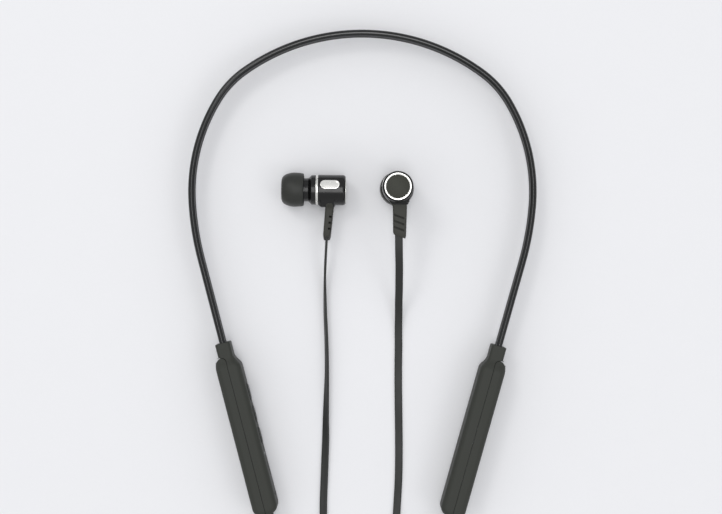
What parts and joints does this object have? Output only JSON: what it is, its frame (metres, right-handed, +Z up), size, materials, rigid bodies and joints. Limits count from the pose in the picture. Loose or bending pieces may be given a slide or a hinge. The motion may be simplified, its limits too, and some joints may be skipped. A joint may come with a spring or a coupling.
{
  "type": "neckband earphones",
  "caption": "Neckband earphones: sprung silicone neckband between a control pod and a battery pod, earbuds on flat cords, keys, charging port flap and pull-off ear tips.",
  "frame": {"origin": "under the middle of the set's bounding box, free cords apart, on the surface it lies on", "axes": "+Y runs from the pods towards the arch of the neckband, +X towards the battery pod, +Z up off the surface; the neckband lies level"},
  "size_m": [0.132, 0.2207, 0.0245],
  "materials": {
    "band_silicone": "satin silicone",
    "pod_shell": "fine matt moulded",
    "button_rubber": "matt",
    "cord_jacket": "satin flat jacket",
    "tip_silicone": "matt silicone",
    "relief_rubber": "matt",
    "bud_gloss": "glossy black",
    "bright_metal": "polished",
    "disc_matte": "fine grain",
    "spring_steel": "drawn wire",
    "copper_lead": "enamelled",
    "circuit_board": "solder mask",
    "chip_plastic": "moulded package",
    "plated_steel": "plated",
    "switch_metal": "stamped",
    "plunger_red": "moulded",
    "clear_pipe": "clear",
    "cell_foil": "foil pouch",
    "diaphragm_film": "film"
  },
  "bodies": {
    "left_half": {"band_sleeve_left": "band_silicone", "spring_wire_left": "spring_steel", "band_lead_left": "copper_lead", "left_inner_shell": "pod_shell", "left_outer_shell": "pod_shell", "left_cord_gland": "cord_jacket", "main_board": "circuit_board", "radio_chip": "chip_plastic", "antenna": "chip_plastic", "microphone": "plated_steel", "microphone_boot": "button_rubber", "button_switches": "switch_metal", "light_pipe": "clear_pipe", "usb_socket": "plated_steel", "left_nozzle": "bud_gloss", "left_nozzle_mesh": "plated_steel", "left_trim_ring": "bright_metal", "left_bud_body": "bud_gloss", "left_badge_plate": "bright_metal", "left_rear_ring": "bright_metal", "left_rear_disc": "disc_matte", "left_parking_magnet": "plated_steel", "left_driver_frame": "plated_steel", "left_driver_magnet": "plated_steel", "left_voice_coil": "copper_lead", "left_diaphragm": "diaphragm_film", "left_strain_relief": "relief_rubber", "left_cord": "cord_jacket"},
    "right_half": {"band_sleeve_right": "band_silicone", "spring_wire_right": "spring_steel", "band_lead_right": "copper_lead", "right_inner_shell": "pod_shell", "right_outer_shell": "pod_shell", "right_cord_gland": "cord_jacket", "battery": "cell_foil", "battery_board": "circuit_board", "right_nozzle": "bud_gloss", "right_nozzle_mesh": "plated_steel", "right_trim_ring": "bright_metal", "right_bud_body": "bud_gloss", "right_badge_plate": "bright_metal", "right_rear_ring": "bright_metal", "right_rear_disc": "disc_matte", "right_parking_magnet": "plated_steel", "right_driver_frame": "plated_steel", "right_driver_magnet": "plated_steel", "right_voice_coil": "copper_lead", "right_diaphragm": "diaphragm_film", "right_strain_relief": "relief_rubber", "right_cord": "cord_jacket"},
    "usb_flap": {"usb_cover": "button_rubber"},
    "volume_up_key": {"volume_up_button": "button_rubber", "volume_up_plunger": "plunger_red"},
    "play_key": {"play_button": "button_rubber", "play_plunger": "plunger_red"},
    "volume_down_key": {"volume_down_button": "button_rubber", "volume_down_plunger": "plunger_red"},
    "left_tip": {"left_ear_tip": "tip_silicone"},
    "right_tip": {"right_ear_tip": "tip_silicone"}
  },
  "joints": [
    {"name": "band_flex", "type": "hinge", "parent": "left_half", "child": "right_half", "pos_m": [0, 0.09097, 0.0065], "axis": [0, 0, 1], "range_deg": [-5, 25], "stiffness_Nm_per_rad": 0.6},
    {"name": "usb_cover_hinge", "type": "hinge", "parent": "left_half", "child": "usb_flap", "pos_m": [-0.03241, -0.08364, 0.0065], "axis": [0, 0, -1], "range_deg": [0, 110]},
    {"name": "volume_up_press", "type": "slide", "parent": "left_half", "child": "volume_up_key", "axis": [-0.965, -0.2622, 0], "range_m": [0, 0.0003], "stiffness_N_per_m": 1000},
    {"name": "play_press", "type": "slide", "parent": "left_half", "child": "play_key", "axis": [-0.965, -0.2622, 0], "range_m": [0, 0.0003], "stiffness_N_per_m": 1000},
    {"name": "volume_down_press", "type": "slide", "parent": "left_half", "child": "volume_down_key", "axis": [-0.965, -0.2622, 0], "range_m": [0, 0.0003], "stiffness_N_per_m": 1000},
    {"name": "left_tip_pull", "type": "slide", "parent": "left_half", "child": "left_tip", "axis": [-1, 0, 0], "range_m": [0, 0.007]},
    {"name": "right_tip_pull", "type": "slide", "parent": "right_half", "child": "right_tip", "axis": [0, 0, -1], "range_m": [0, 0.007]}
  ]
}
